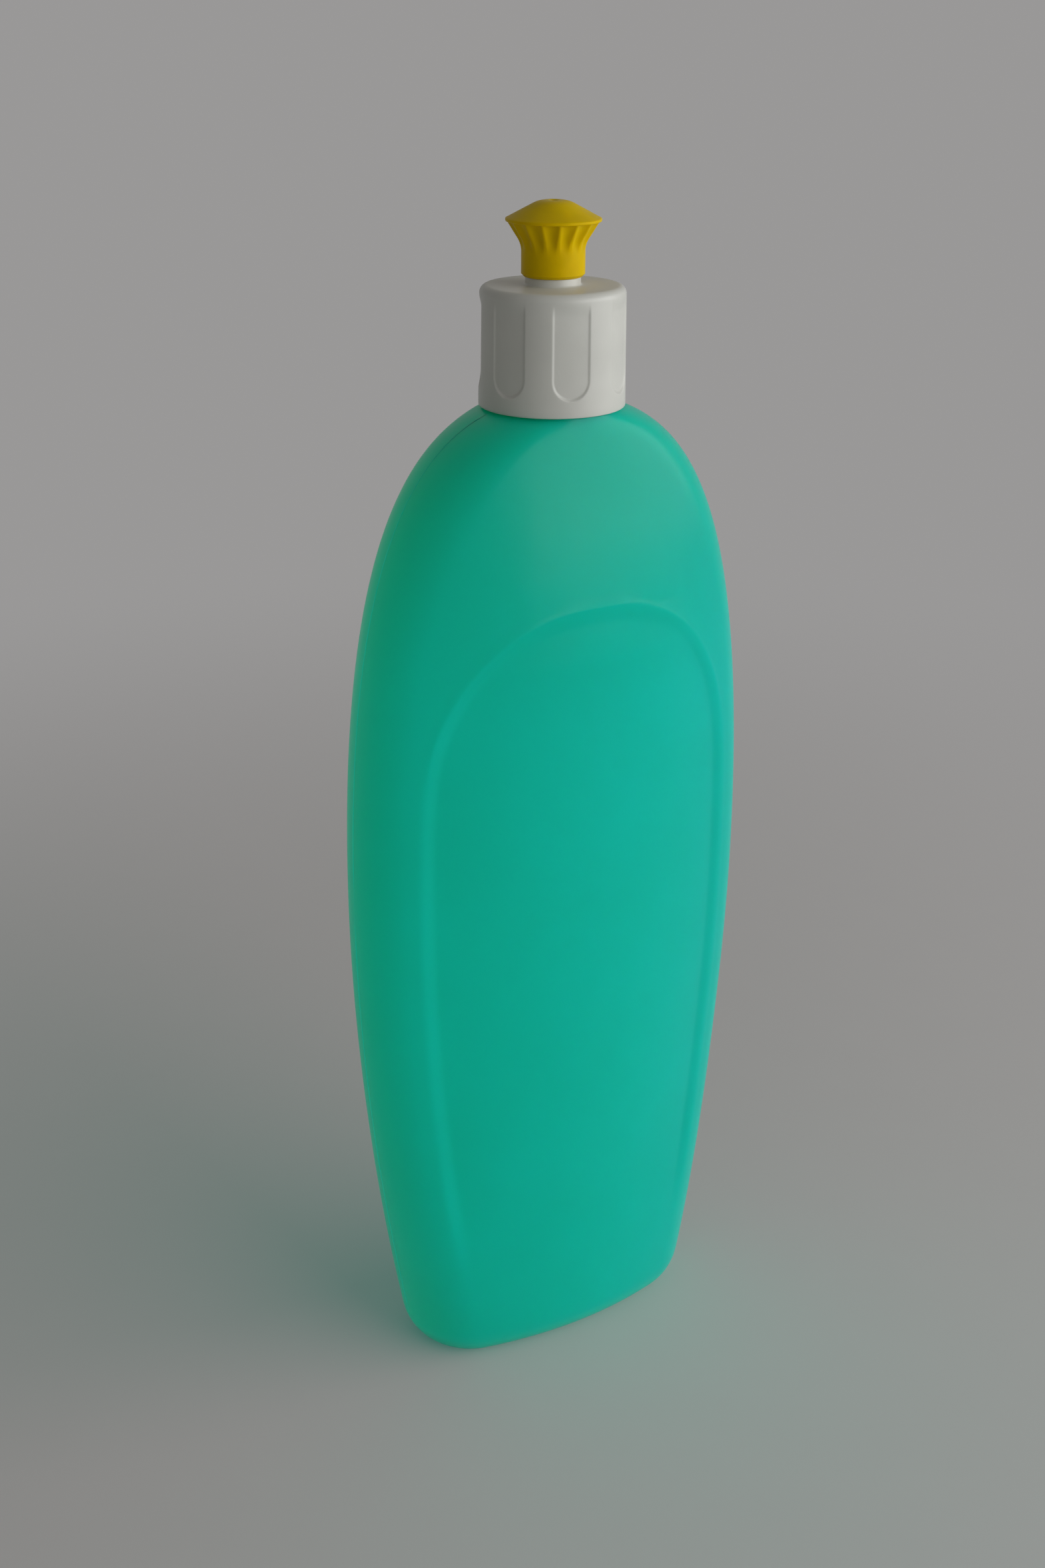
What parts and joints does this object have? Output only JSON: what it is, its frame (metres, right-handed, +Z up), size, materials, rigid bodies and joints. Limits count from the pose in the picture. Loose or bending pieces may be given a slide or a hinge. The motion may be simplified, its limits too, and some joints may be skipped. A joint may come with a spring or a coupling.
{
  "type": "squeeze bottle with push-pull cap",
  "caption": "Hollow flat-oval HDPE squeeze bottle with arched label panels, fluted screw cap and push-pull pouring nozzle.",
  "frame": {"origin": "middle of the base, on the surface that the bottle stands on", "axes": "+Z up through the neck and nozzle, X along the wide way of the body, the front label panel faces -Y"},
  "size_m": [0.0896, 0.0384, 0.2457],
  "materials": {
    "bottle_hdpe": "satin, slightly translucent blow-moulded polyethylene",
    "seal_foam": "soft matt foamed polyethylene",
    "cap_pp": "satin injection-moulded polypropylene",
    "nozzle_pe": "satin injection-moulded polyethylene"
  },
  "bodies": {
    "bottle": {"bottle": "bottle_hdpe"},
    "seal": {"seal": "seal_foam"},
    "cap": {"screw_cap": "cap_pp"},
    "nozzle": {"nozzle": "nozzle_pe"}
  },
  "joints": [
    {"name": "cap_lift", "type": "slide", "parent": "bottle", "child": "seal", "axis": [0, 0, 1], "range_m": [0, 0.0048]},
    {"name": "cap_turn", "type": "hinge", "parent": "seal", "child": "cap", "pos_m": [0, 0, 0.2187], "axis": [0, 0, 1], "range_deg": [0, 540]},
    {"name": "nozzle_slide", "type": "slide", "parent": "cap", "child": "nozzle", "axis": [0, 0, 1], "range_m": [0, 0.004]}
  ],
  "couplings": [
    {"joint": "cap_lift", "follows": "cap_turn", "m_per_rad": 0.0005053}
  ]
}
